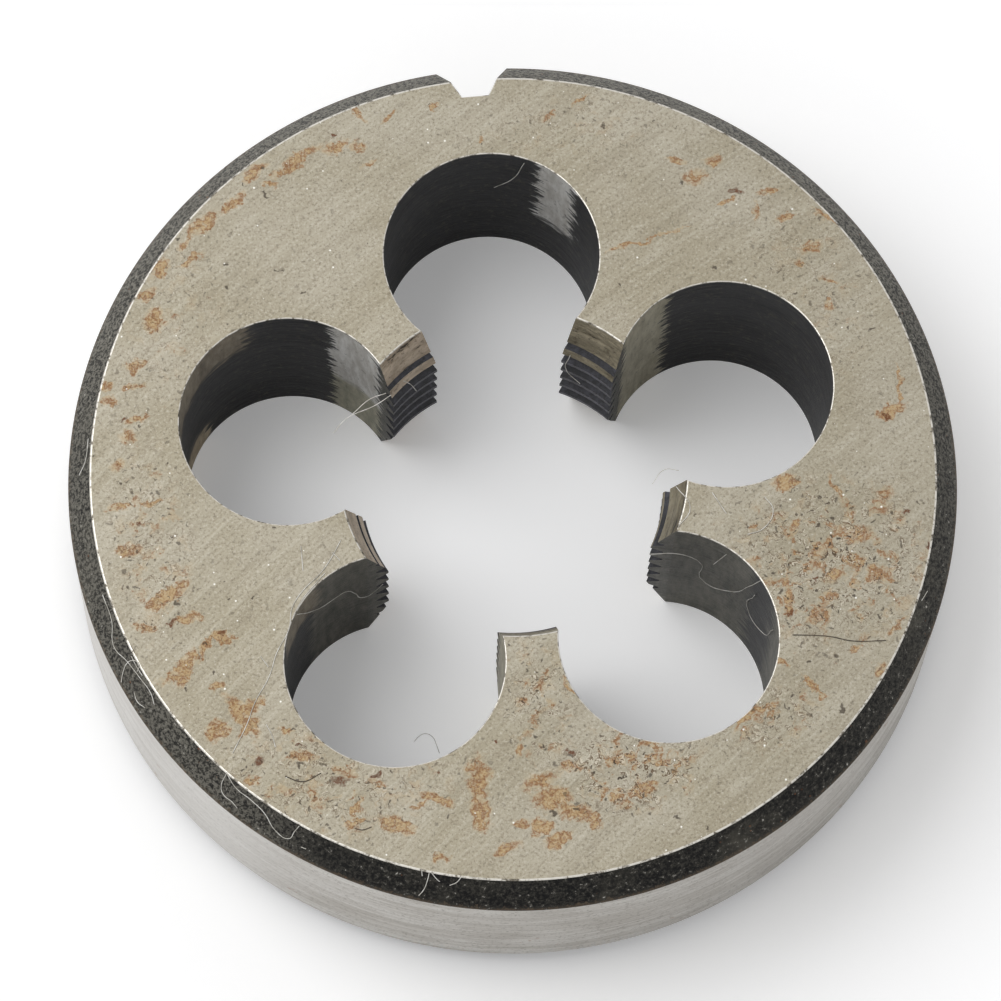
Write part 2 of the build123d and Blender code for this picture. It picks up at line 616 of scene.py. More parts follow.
# Rust on the upper face: x, y, half length, half width, turn in degrees, strength
RUST_MARKS = [
    # front left
    (-15.1, -4.3, 1.0, 0.28, 35, 1.0), (-14.3, -5.4, 0.65, 0.2, 10, 0.9), (-16.1, -5.6, 0.45, 0.25, 0, 0.6),
    (-12.9, -6.3, 0.45, 0.17, -15, 1.0), (-13.6, -6.6, 0.6, 0.15, 55, 0.8),
    (-14.6, -7.6, 0.8, 0.28, 62, 0.95), (-15.0, -7.8, 0.8, 0.2, 20, 0.6), (-13.3, -8.5, 0.27, 0.2, 0, 0.9),
    (-12.4, -9.9, 0.95, 0.3, -60, 0.9), (-11.9, -9.5, 0.6, 0.18, 40, 0.8), (-13.5, -10.4, 0.5, 0.4, 30, 0.75),
    (-12.2, -10.4, 0.6, 0.25, 50, 0.8), (-10.6, -10.7, 0.32, 0.12, -30, 0.9),
    (-10.1, -11.9, 0.7, 0.22, 0, 0.65), (-12.2, -12.7, 0.25, 0.2, 0, 0.7), (-7.9, -14.3, 0.5, 0.11, 60, 0.8),
    (-8.1, -14.9, 0.55, 0.12, 20, 0.8), (-6.4, -15.1, 0.85, 0.3, -28, 0.85),
    (-4.6, -14.2, 0.7, 0.2, -30, 0.85), (-5.3, -14.3, 0.35, 0.12, 30, 0.8), (-4.7, -16.6, 0.3, 0.2, 20, 0.75),
    (-16.5, -2.1, 0.6, 0.3, 0, 0.7), (-16.9, -0.2, 0.5, 0.2, 10, 0.6), (-15.4, 0.0, 0.6, 0.12, 5, 0.7),
    # front
    (-2.75, -13.4, 0.8, 0.42, 80, 0.85), (-2.85, -14.9, 0.75, 0.42, 95, 0.8),
    (-0.3, -13.8, 0.6, 0.4, 20, 0.75), (-0.4, -15.8, 0.45, 0.35, 0, 1.0), (-1.9, -16.5, 0.55, 0.18, 15, 0.8),
    (-1.0, -12.4, 0.3, 0.2, 60, 0.65), (-1.2, -15.5, 0.3, 0.2, 0, 0.6), (0.9, -13.2, 0.35, 0.25, 0, 0.65),
    (0.2, -14.6, 0.75, 0.45, 10, 0.95), (1.2, -15.3, 0.8, 0.35, -15, 0.9), (0.3, -16.4, 0.55, 0.28, 20, 0.85),
    (1.9, -15.8, 0.35, 0.2, 0, 0.7), (3.9, -14.6, 0.58, 0.36, 10, 1.0), (2.9, -14.8, 0.25, 0.2, 0, 0.75),
    (5.5, -13.8, 0.5, 0.1, 60, 0.8), (1.4, -9.8, 0.35, 0.11, -52, 0.95),
    # front right
    (8.6, -11.8, 0.75, 0.16, 45, 0.85), (9.5, -11.4, 0.55, 0.18, 5, 0.8), (10.4, -9.5, 0.4, 0.11, -60, 0.75),
    (11.6, -10.7, 0.6, 0.1, -50, 0.95), (14.6, -10.1, 0.32, 0.25, 30, 0.75), (13.6, -9.2, 0.2, 0.16, 0, 0.8),
    (15.4, -8.3, 0.55, 0.13, 35, 0.75), (12.0, -7.7, 0.4, 0.22, 30, 0.65), (11.0, -7.0, 0.5, 0.2, 80, 0.75),
    (13.0, -5.9, 0.5, 0.3, 20, 0.8), (14.7, -6.0, 0.32, 0.3, 60, 0.8), (16.9, -6.5, 0.55, 0.15, 60, 0.65),
    (14.2, -4.2, 0.6, 0.45, 0, 0.62), (11.5, -3.7, 0.5, 0.2, 60, 0.6), (12.4, -4.8, 0.4, 0.18, 20, 0.65),
    (9.9, -3.6, 0.25, 0.13, 30, 0.9), (11.4, -1.6, 0.5, 0.32, 10, 1.0), (13.6, -2.0, 0.5, 0.09, -70, 0.8),
    (15.6, -2.6, 0.5, 0.3, 30, 0.5),
    # right
    (16.3, 1.1, 0.62, 0.27, 25, 1.15), (16.8, 2.3, 0.8, 0.09, 88, 0.85), (14.2, 6.2, 0.25, 0.2, 0, 0.6),
    (14.4, 7.3, 0.4, 0.09, -20, 0.75), (13.1, 8.1, 0.2, 0.2, 0, 0.65), (13.9, 8.9, 0.5, 0.3, 30, 0.5),
    (14.5, 10.3, 0.55, 0.1, -35, 0.75), (12.8, 10.4, 0.5, 0.16, 15, 0.7), (11.6, 10.8, 0.45, 0.12, 80, 0.65),
    (12.3, 11.7, 0.5, 0.14, 0, 0.55), (10.4, 11.3, 0.34, 0.14, 10, 0.95), (9.9, 13.3, 0.35, 0.25, 0, 0.6),
    (8.4, 13.4, 0.4, 0.13, -20, 0.7), (9.2, 12.6, 0.5, 0.35, 0, 0.45),
    # back right
    (6.0, 9.75, 1.0, 0.07, 14, 0.75), (7.7, 10.15, 0.9, 0.06, 8, 0.6), (5.5, 9.6, 0.4, 0.12, 10, 0.6),
    (4.5, 16.6, 0.5, 0.09, 32, 0.75), (3.1, 16.0, 0.35, 0.1, 40, 0.6), (0.1, 15.2, 0.12, 0.2, 0, 0.8),
    # back left
    (-8.0, 14.9, 1.2, 0.25, 28, 0.8), (-6.3, 15.4, 0.5, 0.28, 20, 0.9), (-5.1, 16.8, 0.5, 0.15, -60, 0.65),
    (-5.3, 15.3, 0.35, 0.2, 0, 0.6), (-9.9, 14.5, 0.6, 0.28, 30, 0.85), (-9.3, 13.9, 0.35, 0.15, 0, 0.7),
    (-10.9, 13.2, 0.75, 0.18, 40, 0.7), (-12.3, 12.3, 0.8, 0.33, 45, 0.65), (-13.1, 11.6, 0.4, 0.2, 30, 0.6),
    (-12.9, 10.7, 0.5, 0.17, 35, 0.85), (-14.2, 10.4, 0.42, 0.32, 45, 0.9), (-14.9, 9.4, 0.4, 0.25, 20, 0.85),
    (-14.7, 8.1, 0.5, 0.4, 60, 0.8), (-15.7, 6.1, 0.4, 0.3, 30, 0.85), (-17.0, 5.2, 0.28, 0.25, 0, 0.85),
    (-15.8, 5.2, 0.45, 0.2, 20, 0.75), (-16.9, 4.6, 0.3, 0.2, 0, 0.7), (-15.7, 3.7, 0.45, 0.18, 10, 0.7),
    (-16.2, 2.9, 0.3, 0.3, 0, 0.5), (-16.8, 1.8, 0.35, 0.3, 0, 0.5), (-3.8, 16.6, 0.4, 0.12, 40, 0.6),
    (-1.8, 16.9, 0.15, 0.2, 0, 0.8), (-4.9, 14.5, 0.4, 0.12, 30, 0.5),
]

# Small dark red-brown spots on the upper face: x, y, radius
RED_SPOTS = [
    (-8.5, -13.0, 0.24), (-11.8, -11.9, 0.22), (-13.0, -6.2, 0.16), (-16.0, -1.0, 0.15), (-7.0, -12.9, 0.12),
    (-16.3, 3.75, 0.13), (-6.3, 16.0, 0.13), (10.8, 11.8, 0.19), (11.0, -7.35, 0.18), (9.45, -5.0, 0.14),
    (17.2, -5.0, 0.11), (16.5, -3.4, 0.12), (-10.0, -11.4, 0.1), (-1.9, -12.0, 0.1), (-4.4, -13.1, 0.1),
    (16.1, 0.9, 0.2), (12.2, -6.0, 0.1), (1.2, -12.6, 0.1), (-15.0, -5.5, 0.12), (9.1, -6.0, 0.1),
]

# Where pits and curled stains with their painted highlight and shade crowd together on the upper face: x, y,
# half length, half width, strength
PITTED = [
    (3.5, -13.6, 3.0, 1.8, 1.0), (13.0, -5.5, 4.5, 3.6, 0.85), (9.5, -11.8, 2.6, 1.5, 0.7),
    (-9.0, -13.0, 5.5, 2.6, 0.6), (-15.5, -2.0, 1.8, 4.5, 0.55), (-14.0, 8.0, 2.6, 4.0, 0.35),
    (13.5, 7.0, 3.0, 5.0, 0.35), (4.0, 15.5, 4.0, 1.6, 0.35), (0.0, -10.5, 1.4, 3.0, 0.7),
]

WHEEL_CENTRE = (100.0, -135.0, 0.0)  # the face grinder's scratches are arcs about this point
WHEEL_ALONG = (0.8, 0.6, 0.0)
MARKS_FROM, MARKS_FULL = 4.0, 6.0  # heights between which the upper face's own marks set in


def die_place(tree):
    """The place on the die in millimetres."""
    coordinates = tree.nodes.new("ShaderNodeTexCoord").outputs["Object"]
    return add(tree, "ShaderNodeVectorMath", {0: coordinates, "Scale": 1 / MM}, operation="SCALE").outputs[0]


def new_finish(name, metallic, roughness):
    material = bpy.data.materials.new(name)
    material.use_nodes = True
    tree = material.node_tree
    shader = tree.nodes["Principled BSDF"]
    shader.inputs["Metallic"].default_value = metallic
    shader.inputs["Roughness"].default_value = roughness
    return material, tree, shader


def bump(tree, shader, height, depth):
    """Raise the surface by this many millimetres where the height is 1."""
    raised = add(tree, "ShaderNodeBump", {"Height": height, "Distance": depth * MM, "Strength": 1.0})
    tree.links.new(raised.outputs["Normal"], shader.inputs["Normal"])


def scratched(tree, place, squeeze, per_millimetre):
    """Scratches in a place that is squeezed first, by this much each way."""
    place = vectors(tree, "MULTIPLY", place, squeeze)
    return use(tree, lines, {"Place": place, "Per millimetre": per_millimetre})["Value"]


def scattered(tree, pattern, place, per_millimetre, size, share):
    """Spots of a pattern: so many to a millimetre, of this size, and this share of them kept."""
    inputs = {"Place": place, "Per millimetre": per_millimetre, "Size": size, "Share": share}
    return use(tree, pattern, inputs)["Mask"]


def dress(tree, shader, colour, metallic=None, roughness=None):
    """Give the shader its colour, and its metallic and roughness values where they change."""
    for name, value in (("Base Color", colour), ("Metallic", metallic), ("Roughness", roughness)):
        if value is not None:
            tree.links.new(value, shader.inputs[name])


def marks_mask(tree, place, marks):
    """All the marks of a list as one mask, in which the strongest one counts at each place."""
    for x, y, half_length, half_width, turn, strength in marks:
        place = use(tree, mark, {
            "Place and marks": place,
            "Centre": (x, y, 0),
            "Half size": (half_length, half_width, FAR),
            "Turn": (0, 0, math.radians(turn)),
            "Strength": strength,
        })["Place and marks"]
    return split(tree, place)["Z"]


def make_ground_face():
    """Both faces: beige-grey ground steel with arcs from the wheel, pits, curled stains drawn with a painted
    highlight and shade so that they look raised, and rust.
    """
    material, tree, shader = new_finish("ground_face", 0.5, 0.5)
    place = die_place(tree)
    flat_place = vectors(tree, "MULTIPLY", place, (1, 1, 0))
    strayed = stray(tree, flat_place, (1.1, 1.1, 0), place, 1.3, 3.0, 0.65)

    across = vectors(tree, "DISTANCE", flat_place, WHEEL_CENTRE)
    along = vectors(tree, "DOT_PRODUCT", flat_place, WHEEL_ALONG)
    arcs = compose(tree, X=across, Y=along)
    scratches = scratched(tree, arcs, (1, 0.09, 1), 5.5)
    clouds = noise(tree, place, 0.2, detail=3.0)
    speckle = noise(tree, place, 8.0, detail=2.0, roughness=0.75)

    steel = blend(tree, ramp(tree, clouds, 0.35, 0.65), shade(158, 150, 130), shade(169, 162, 145))
    steel = blend(tree, ramp(tree, scratches, 0.45, 1.0, 0.0, 0.28), steel, shade(198, 193, 178))
    steel = blend(tree, ramp(tree, scratches, 0.5, 0.0, 0.0, 0.32), steel, shade(128, 119, 100))
    steel = blend(tree, ramp(tree, speckle, 0.52, 0.7, 0.0, 0.6), steel, shade(104, 94, 76))
    steel = blend(tree, ramp(tree, speckle, 0.45, 0.3, 0.0, 0.4), steel, shade(208, 203, 190))

    upper = ramp(tree, split(tree, place)["Z"], MARKS_FROM, MARKS_FULL)
    crowd = marks_mask(tree, flat_place, [(x, y, a, b, 0, s) for x, y, a, b, s in PITTED])
    rust_amount = times(tree, marks_mask(tree, strayed, RUST_MARKS), upper)
    patchy = noise(tree, strayed, 1.4, detail=4.0)
    faint = times(tree, crowd, ramp(tree, patchy, 0.45, 0.65, 0.0, 0.6))
    amount = maths(tree, "MAXIMUM", rust_amount, faint)
    steel = blend(tree, ramp(tree, amount, 0.02, 0.5, 0.0, 0.35), steel, shade(188, 160, 116))
    rusted = use(tree, rust, {"Under": steel, "Place": place, "Amount": amount})

    # Curled stains drawn as if raised: a dark line, partly stain and partly painted shade, with a painted
    # highlight line beside it
    curl = noise(tree, strayed, 2.6, detail=2.0, roughness=0.6)
    stain_and_shade_line = ramp(tree, off_level(tree, curl, 0.5), 0.03, 0.008, 0.0, 0.9)
    painted_highlight_line = ramp(tree, off_level(tree, curl, 0.535), 0.024, 0.006, 0.0, 0.55)
    curled = ramp(tree, noise(tree, place, 0.9, detail=2.0), 0.4, 0.55)
    curled = times(tree, curled, ramp(tree, crowd, 0.0, 1.0, 0.16, 1.0))
    colour = blend(tree, times(tree, painted_highlight_line, curled), rusted["Color"], shade(216, 208, 190))
    colour = blend(tree, times(tree, stain_and_shade_line, curled), colour, shade(88, 68, 46))

    reds = marks_mask(tree, strayed, [(x, y, r, r * 0.8, 0, 1.0) for x, y, r in RED_SPOTS])
    reds = times(tree, reds, upper)
    grit = ramp(tree, speckle, 0.62, 0.45, 0.35, 1.0)
    gritty_reds = times(tree, ramp(tree, reds, 0.15, 0.75, 0.0, 0.9), grit)
    colour = blend(tree, gritty_reds, colour, shade(104, 58, 28))

    fine_pits = scattered(tree, flat_spots, strayed, 2.7, 0.19, 0.6)
    fine_pits = times(tree, fine_pits, maths(tree, "ADD", times(tree, crowd, 0.7), 0.25))
    big_pits = times(tree, scattered(tree, flat_spots, strayed, 0.95, 0.1, 0.2), 0.75)
    pits = maths(tree, "MAXIMUM", fine_pits, big_pits)
    colour = blend(tree, pits, colour, shade(62, 50, 38))
    dust = scattered(tree, flat_spots, flat_place, 1.3, 0.06, 0.12)
    colour = blend(tree, dust, colour, shade(236, 234, 226))

    cover = maths(tree, "MAXIMUM", rusted["Mask"], maths(tree, "MAXIMUM", pits, reds))
    metallic = ramp(tree, cover, 0.0, 1.0, 0.5, 0.05)
    dress(tree, shader, colour, metallic, ramp(tree, cover, 0.0, 1.0, 0.48, 0.8))
    bump(tree, shader, scratches, 0.008)
    return material


def make_ground_rim():
    """The rim: bright ground steel with scratches that run round it, and a painted light that makes it paler
    toward the left.
    """
    material, tree, shader = new_finish("ground_rim", 0.6, 0.4)
    place = die_place(tree)
    scratches = scratched(tree, place, (0.06, 0.06, 1.0), 5.0)
    clouds = noise(tree, place, 0.35, detail=3.0)
    speckle = noise(tree, place, 6.0, detail=2.0, roughness=0.7)
    steel = blend(tree, ramp(tree, clouds, 0.3, 0.7), shade(186, 181, 173), shade(200, 196, 189))
    steel = blend(tree, ramp(tree, scratches, 0.45, 1.0, 0.0, 0.55), steel, shade(226, 224, 219))
    steel = blend(tree, ramp(tree, scratches, 0.5, 0.0, 0.0, 0.38), steel, shade(140, 134, 124))
    steel = blend(tree, ramp(tree, speckle, 0.52, 0.7, 0.0, 0.6), steel, shade(124, 116, 104))
    # Painted light: the rim is paler toward the left
    left = ramp(tree, split(tree, place)["X"], -9.0, -14.0, 0.0, 0.45)
    steel = blend(tree, left, steel, shade(236, 234, 230))
    stains = times(tree, ramp(tree, noise(tree, place, 0.7, detail=4.0), 0.6, 0.8), 0.6)
    rusted = use(tree, rust, {"Under": steel, "Place": place, "Amount": stains})
    pits = scattered(tree, spots, place, 1.4, 0.12, 0.3)
    colour = blend(tree, times(tree, pits, 0.7), rusted["Color"], shade(92, 82, 70))
    metallic = ramp(tree, rusted["Mask"], 0.0, 1.0, 0.6, 0.05)
    dress(tree, shader, colour, metallic, ramp(tree, scratches, 0.0, 1.0, 0.46, 0.34))
    bump(tree, shader, scratches, 0.008)
    return material


def make_oxide_chamfer():
    """The chamfers: black oxide with a salt-and-pepper grain, rust points and a brown lower edge, with a
    painted sparkle of pale specks and a painted reflection that turns them paler grey toward the back and the
    left.
    """
    material, tree, shader = new_finish("oxide_chamfer", 0.0, 0.34)
    shader.inputs["Specular IOR Level"].default_value = 0.12
    place = die_place(tree)
    grain = noise(tree, place, 5.0, detail=4.0, roughness=0.8)
    clouds = noise(tree, place, 0.4, detail=4.0)
    oxide = blend(tree, ramp(tree, grain, 0.42, 0.64), shade(8, 8, 9), shade(62, 60, 55))
    oxide = blend(tree, ramp(tree, clouds, 0.5, 0.75, 0.0, 0.5), oxide, shade(88, 85, 76))
    parts = split(tree, place)
    # Painted reflection and light: the oxide is paler grey toward the back and the left, broken up by grit
    painted_reflection_back = ramp(tree, parts["Y"], -20.0, 24.0, 0.0, 0.78)
    painted_light_left = ramp(tree, parts["X"], -8.5, -13.5, 0.0, 0.42)
    painted_reflection = maths(tree, "MAXIMUM", painted_reflection_back, painted_light_left)
    grit = noise(tree, place, 6.5, detail=2.0, roughness=0.8)
    painted_reflection = times(tree, painted_reflection, ramp(tree, grit, 0.42, 0.58, 0.15, 1.85))
    oxide = blend(tree, painted_reflection, oxide, shade(122, 119, 110))
    points = scattered(tree, spots, place, 3.0, 0.2, 0.14)
    oxide = blend(tree, times(tree, points, 0.6), oxide, shade(120, 78, 52))
    # Painted sparkle: pale, more metallic specks where the grain is highest
    painted_sparkle = ramp(tree, grain, 0.62, 0.7)
    oxide = blend(tree, painted_sparkle, oxide, shade(190, 187, 180))
    from_middle = off_level(tree, parts["Z"], THICKNESS / 2)
    rim_edge = THICKNESS / 2 - CHAMFER_HEIGHT
    ragged = maths(tree, "ADD", from_middle, times(tree, over_level(tree, grain, 0.5), 0.9))
    brown = ramp(tree, ragged, rim_edge + 0.13, rim_edge, 0.0, 0.6)
    oxide = blend(tree, brown, oxide, shade(108, 95, 80))
    dress(tree, shader, oxide, times(tree, painted_sparkle, 0.8), ramp(tree, grain, 0.3, 0.7, 0.28, 0.5))
    bump(tree, shader, grain, 0.03)
    return material


# Bare patches on the walls, with tones that are partly painted reflection and light: marks as for rust, the
# heights between them, the dull and the bright tone
BARE_AND_REFLECTION_PATCHES = [
    ([(-7.4, -3.6, 2.2, 1.8, 60, 0.9), (7.6, -3.8, 2.8, 2.4, -60, 0.9), (10.0, -9.6, 1.6, 3.2, 20, 0.9)],
     (-2, 12), (66, 65, 57), (122, 119, 108)),
    ([(-13.2, 5.7, 3.4, 1.3, 52, 1.0), (-9.6, -5.6, 1.6, 1.0, 50, 0.8)],
     (7.4, 12), (104, 94, 78), (168, 156, 136)),
    ([(6.3, 6.4, 1.3, 1.5, 0, 1.0), (-1.9, 5.9, 0.7, 1.0, 0, 0.7), (-1.3, -7.4, 0.7, 1.6, 0, 1.0)],
     (-2, 12), (160, 152, 128), (214, 208, 186)),
    ([(-6.2, 6.3, 1.2, 1.4, 0, 1.0)], (-2, 4.2), (140, 138, 118), (198, 194, 172)),
    ([(-6.2, 6.3, 1.2, 1.4, 0, 1.0), (3.2, 13.2, 1.0, 0.6, -45, 0.9)],
     (4.0, 12), (196, 192, 184), (250, 249, 246)),
    ([(-13.4, 4.6, 1.6, 0.9, 70, 1.0)], (-2, 1.7), (168, 150, 120), (224, 208, 180)),
]
PATCH_FADE = 0.4  # to each side of those heights


def make_bare_and_reflection_patches():
    """Where the drilled walls are rubbed down to the steel beside the lands, with rows of turning lines at
    their ends; the tones of these patches are partly painted reflection and light.
    """
    group, given, put = shared(
        "bare_and_reflection_patches",
        [("Under", "colour"), ("Place", "vector")],
        [("Color", "colour"), ("Mask", "value")],
    )
    rows = vectors(group, "MULTIPLY", given["Place"], (0.4, 0.4, 1.8))
    strayed = stray(group, given["Place"], (2.4, 2.4, 2.4), rows, 2.0, 4.0, 0.7)
    height = split(group, strayed)["Z"]
    strayed = vectors(group, "MULTIPLY", strayed, (1, 1, 0))
    brushing = scratched(group, given["Place"], (1, 1, 0.3), 3.0)
    colour, mask = given["Under"], 0.0
    for patches, (lowest, highest), dull, bright in BARE_AND_REFLECTION_PATCHES:
        patch_share = ramp(group, marks_mask(group, strayed, patches), 0.3, 0.55)
        patch_share = times(group, patch_share, ramp(group, height, lowest - PATCH_FADE, lowest + PATCH_FADE))
        patch_share = times(group, patch_share, ramp(group, height, highest + PATCH_FADE, highest - PATCH_FADE))
        # Each patch's tone: partly rubbed steel, partly painted reflection and light
        colour = blend(group, patch_share, colour, blend(group, brushing, shade(*dull), shade(*bright)))
        mask = maths(group, "MAXIMUM", mask, patch_share)
    group.links.new(colour, put["Color"])
    group.links.new(mask, put["Mask"])
    return group


bare_and_reflection_patches = make_bare_and_reflection_patches()


def make_hole_wall():
    """The drilled walls: near-black with fine turning lines, rubbed down to the steel near the lands, where
    the pale tones are partly painted reflection and light.
    """
    material, tree, shader = new_finish("hole_wall", 0.0, 0.45)
    shader.inputs["Specular IOR Level"].default_value = 0.3
    place = die_place(tree)
    turning = scratched(tree, place, (0.2, 0.2, 1.0), 4.0)
    grain = noise(tree, place, 3.0, detail=5.0, roughness=0.75)
    oxide = blend(tree, turning, shade(20, 20, 22), shade(52, 52, 54))
    oxide = blend(tree, ramp(tree, grain, 0.52, 0.68, 0.0, 0.6), oxide, shade(96, 92, 80))
    patched = use(tree, bare_and_reflection_patches, {"Under": oxide, "Place": place})
    scuffs = times(tree, ramp(tree, grain, 0.42, 0.3, 0.0, 0.7), patched["Mask"])
    colour = blend(tree, scuffs, patched["Color"], shade(40, 38, 32))
    dress(tree, shader, colour, times(tree, patched["Mask"], 0.12))
    bump(tree, shader, turning, 0.02)
    return material


def make_cutting_face():
    """The flats beside the teeth: dull olive steel with lines from the dressing wheel."""
    material, tree, shader = new_finish("cutting_face", 0.3, 0.42)
    place = die_place(tree)
    turning = scratched(tree, place, (0.2, 0.2, 1.0), 5.0)
    grain = noise(tree, place, 3.5, detail=5.0, roughness=0.75)
    steel = blend(tree, turning, shade(48, 47, 42), shade(98, 96, 86))
    # Patches as on the drilled walls, partly painted reflection and light
    steel = use(tree, bare_and_reflection_patches, {"Under": steel, "Place": place})["Color"]
    steel = blend(tree, ramp(tree, grain, 0.5, 0.7, 0.0, 0.7), steel, shade(36, 34, 30))
    dress(tree, shader, steel)
    bump(tree, shader, turning, 0.02)
    return material


def make_lead_cone():
    """The lead-in cones: ridged brown-grey steel, paler on the left lands, with a few dark slits."""
    material, tree, shader = new_finish("lead_cone", 0.35, 0.5)
    place = die_place(tree)
    ridges = scratched(tree, place, (0.3, 0.3, 1.0), 3.2)
    grain = noise(tree, place, 4.0, detail=5.0, roughness=0.75)
    dark = blend(tree, ridges, shade(88, 80, 62), shade(176, 166, 142))
    pale = blend(tree, ridges, shade(150, 134, 114), shade(222, 206, 186))
    steel = blend(tree, ramp(tree, split(tree, place)["X"], -1.0, -3.0), dark, pale)
    steel = blend(tree, ramp(tree, grain, 0.52, 0.7, 0.0, 0.75), steel, shade(56, 46, 36))
    slits = ramp(tree, ridges, 0.16, 0.05, 0.0, 0.85)
    steel = blend(tree, slits, steel, shade(24, 22, 20))
    dress(tree, shader, steel)
    bump(tree, shader, ridges, 0.05)
    return material


def make_thread(name, dark, bright):
    """The thread: blue-black steel, with paler streaks where it runs round the land, which are a painted
    highlight.
    """
    material, tree, shader = new_finish(name, 0.3, 0.4)
    place = die_place(tree)
    streaks = scratched(tree, place, (0.6, 0.6, 1.0), 4.0)
    grain = noise(tree, place, 5.0, detail=4.0, roughness=0.75)
    streaks = times(tree, streaks, ramp(tree, grain, 0.35, 0.6))
    steel = blend(tree, streaks, shade(*dark), shade(*bright))
    dress(tree, shader, steel)
    bump(tree, shader, grain, 0.03)
    return material


def make_notch_wall():
    """The locating notch: milled steel with a little grime."""
    material, tree, shader = new_finish("notch_wall", 0.4, 0.5)
    place = die_place(tree)
    mill = scratched(tree, place, (1.0, 0.3, 1.0), 3.0)
    grain = noise(tree, place, 3.5, detail=5.0, roughness=0.75)
    steel = blend(tree, mill, shade(120, 115, 104), shade(188, 184, 174))
    steel = blend(tree, ramp(tree, grain, 0.5, 0.68, 0.0, 0.7), steel, shade(70, 64, 54))
    dress(tree, shader, steel)
    bump(tree, shader, mill, 0.02)
    return material


def make_edge_wear_and_highlight():
    """The broken edges: rubbed steel in beads where it was touched, the palest beads partly a painted
    highlight.
    """
    material, tree, shader = new_finish("edge_wear_and_highlight", 0.5, 0.35)
    place = die_place(tree)
    beads = noise(tree, place, 2.6, detail=4.0, roughness=0.7)
    # The near-white beads are partly a painted highlight
    steel = blend(tree, ramp(tree, beads, 0.37, 0.52), shade(112, 105, 92), shade(220, 216, 207))
    steel = blend(tree, ramp(tree, beads, 0.38, 0.32), steel, shade(56, 52, 46))
    dress(tree, shader, steel)
    bump(tree, shader, beads, 0.03)
    return material


ground_face = make_ground_face()
ground_rim = make_ground_rim()
oxide_chamfer = make_oxide_chamfer()
hole_wall = make_hole_wall()
cutting_face = make_cutting_face()
lead_cone = make_lead_cone()
# Lit and shaded copies of one finish: paler crests with a lavender painted highlight, and darker grooves as
# painted shade
thread_crest_highlit = make_thread("thread_crest_highlit", (30, 30, 34), (92, 90, 106))
thread_groove_shaded = make_thread("thread_groove_shaded", (18, 19, 22), (62, 62, 70))
notch_wall = make_notch_wall()
edge_wear_and_highlight = make_edge_wear_and_highlight()

# ---------------------------------------------------------------- camera, floor and light

CAMERA_PLACE = (-11.11, -73.67, 228.9)
CAMERA_TURN = (18.44, -0.9, -5.5)  # degrees
CAMERA_LENS = 195.5
CAMERA_NEAR = 10.0
FLOOR_SIZE = 2000.0
FLOOR_DROP = 0.01  # below the die, so that the two don't share a plane
GLOW_REACH = 80.0  # from the middle of the die, where the floor's own glow is full
GLOW_NEAR, GLOW_FAR = 0.17, 0.9
FILL_LEVEL = 0.5
LAMP_PLACE = (-190.0, 80.0, 350.0)
LAMP_SIZE = 280.0
LAMP_LEVEL = 0.46

camera_data = bpy.data.cameras.new("camera")
camera_data.lens = CAMERA_LENS
camera_data.clip_start = CAMERA_NEAR * MM
camera = bpy.data.objects.new("camera", camera_data)
camera.location = [value * MM for value in CAMERA_PLACE]
camera.rotation_euler = [math.radians(value) for value in CAMERA_TURN]
bpy.context.scene.collection.objects.link(camera)
bpy.context.scene.camera = camera


def seen_white(tree):
    """1 for the rays that see the background: from the camera, in reflections and through glass."""
    rays = tree.nodes.new("ShaderNodeLightPath").outputs
    seen = maths(tree, "MAXIMUM", rays["Is Camera Ray"], rays["Is Glossy Ray"])
    return maths(tree, "MAXIMUM", seen, rays["Is Transmission Ray"])


def make_floor_paint():
    """Pale floor that keeps the shadows near the die and goes white farther out."""
    material, tree, shader = new_finish("floor_paint", 0.0, 0.9)
    shader.inputs["Base Color"].default_value = (0.97, 0.973, 0.98, 1)
    shader.inputs["Specular IOR Level"].default_value = 0.0
    away = vectors(tree, "LENGTH", die_place(tree))
    level = ramp(tree, away, RADIUS, GLOW_REACH, GLOW_NEAR, GLOW_FAR)
    glow = add(tree, "ShaderNodeEmission", {"Color": (1, 1, 1, 1), "Strength": level})
    nothing = add(tree, "ShaderNodeEmission", {"Color": (0, 0, 0, 1), "Strength": 0.0})
    by_eye = tree.nodes.new("ShaderNodeLightPath").outputs["Is Camera Ray"]
    seen = add(tree, "ShaderNodeMixShader", {0: by_eye, 1: nothing.outputs[0], 2: glow.outputs[0]})
    both = add(tree, "ShaderNodeAddShader", {0: shader.outputs[0], 1: seen.outputs[0]})
    tree.links.new(both.outputs[0], tree.nodes["Material Output"].inputs["Surface"])
    return material


def light_the_room():
    """A plain world: white to the eye and in reflections, and a soft fill for everything else."""
    world = bpy.data.worlds.new("room")
    bpy.context.scene.world = world
    world.use_nodes = True
    tree = world.node_tree
    fill = tree.nodes["Background"]
    fill.inputs["Color"].default_value = (1, 1, 1, 1)
    fill.inputs["Strength"].default_value = FILL_LEVEL
    white = add(tree, "ShaderNodeBackground", {"Color": (1, 1, 1, 1), "Strength": 1.0})
    chosen = add(tree, "ShaderNodeMixShader", {0: seen_white(tree), 1: fill.outputs[0], 2: white.outputs[0]})
    tree.links.new(chosen.outputs[0], tree.nodes["World Output"].inputs["Surface"])


deselect_all()
bpy.ops.mesh.primitive_plane_add(size=FLOOR_SIZE * MM, location=(0, 0, -FLOOR_DROP * MM))
floor = bpy.context.object
floor.name = "floor"
coat(floor, make_floor_paint())


